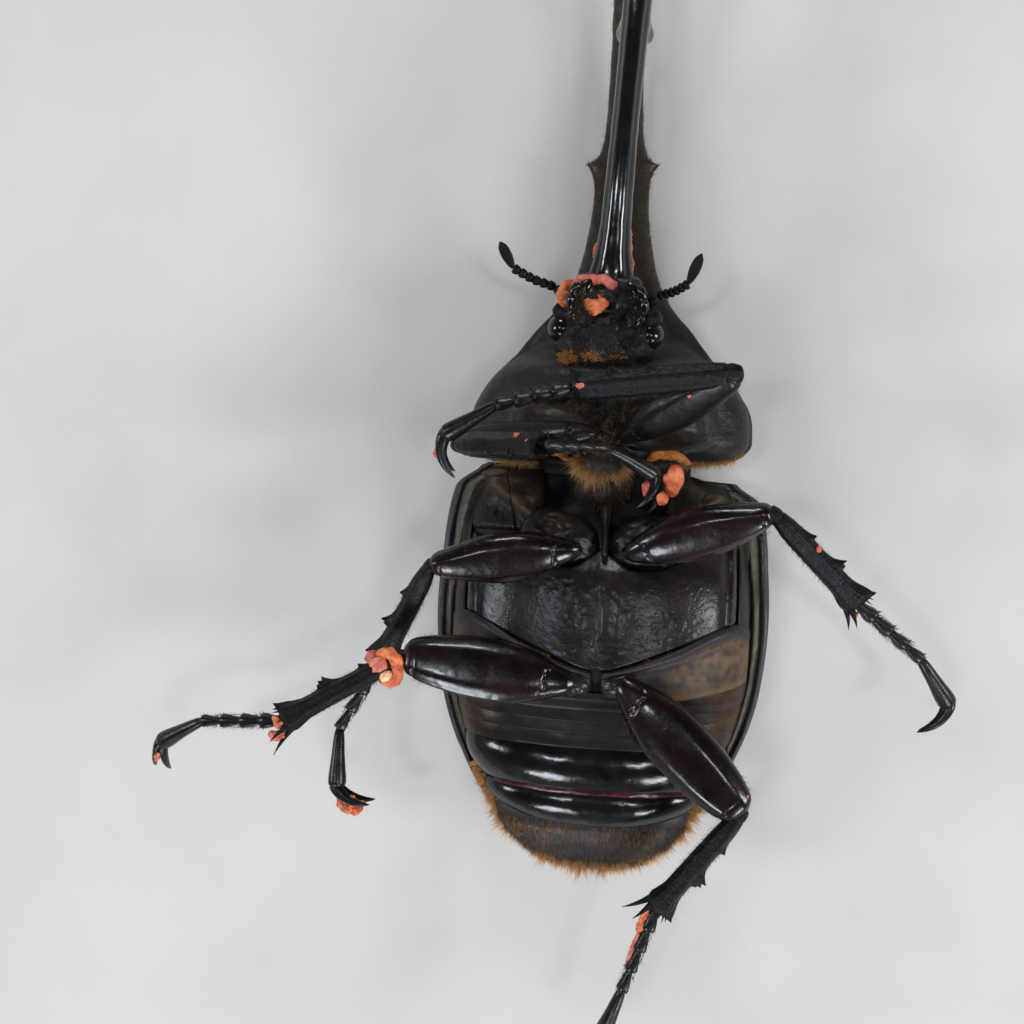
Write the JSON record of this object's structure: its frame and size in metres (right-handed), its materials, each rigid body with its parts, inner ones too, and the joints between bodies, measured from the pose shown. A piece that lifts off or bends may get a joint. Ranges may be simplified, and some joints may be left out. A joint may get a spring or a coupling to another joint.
{
  "type": "hercules beetle",
  "caption": "Life-size hercules beetle lying on its back: a long thoracic horn over a shorter head horn, hard wing cases, folded forelegs and bent mid and hind legs. A still display model.",
  "frame": {"origin": "middle of the underside of the model's box, on the level that the beetle's back lies on", "axes": "+Y from the tail to the horns, +Z from the back to the belly, +X to the beetle's left side"},
  "size_m": [0.0997, 0.1759, 0.0374],
  "materials": {
    "black_shell": "polished black cuticle",
    "wing_case": "satin dark olive cuticle with black spots and margin",
    "belly": "satin dark brown cuticle",
    "leg": "glossy maroon-black cuticle",
    "horn": "glossy black cuticle",
    "eye": "glossy black"
  },
  "bodies": {
    "root": {"abdomen": "belly", "antenna_left": "horn", "antenna_right": "horn", "coxa_fore_left": "leg", "coxa_fore_right": "leg", "coxa_hind_left": "leg", "coxa_hind_right": "leg", "coxa_mid_left": "leg", "coxa_mid_right": "leg", "elytron_left": "wing_case", "elytron_right": "wing_case", "eye_left": "eye", "eye_right": "eye", "femur_fore_left": "leg", "femur_fore_right": "leg", "femur_hind_left": "leg", "femur_hind_right": "leg", "femur_mid_left": "leg", "femur_mid_right": "leg", "head": "black_shell", "head_horn": "horn", "mandible_left": "horn", "mandible_right": "horn", "palp_left": "horn", "palp_right": "horn", "pronotum": "black_shell", "pygidium": "belly", "scutellum": "black_shell", "tarsus_fore_left": "leg", "tarsus_fore_right": "leg", "tarsus_hind_left": "leg", "tarsus_hind_right": "leg", "tarsus_mid_left": "leg", "tarsus_mid_right": "leg", "thoracic_horn": "horn", "thorax": "belly", "tibia_fore_left": "leg", "tibia_fore_right": "leg", "tibia_hind_left": "leg", "tibia_hind_right": "leg", "tibia_mid_left": "leg", "tibia_mid_right": "leg"}
  },
  "joints": []
}
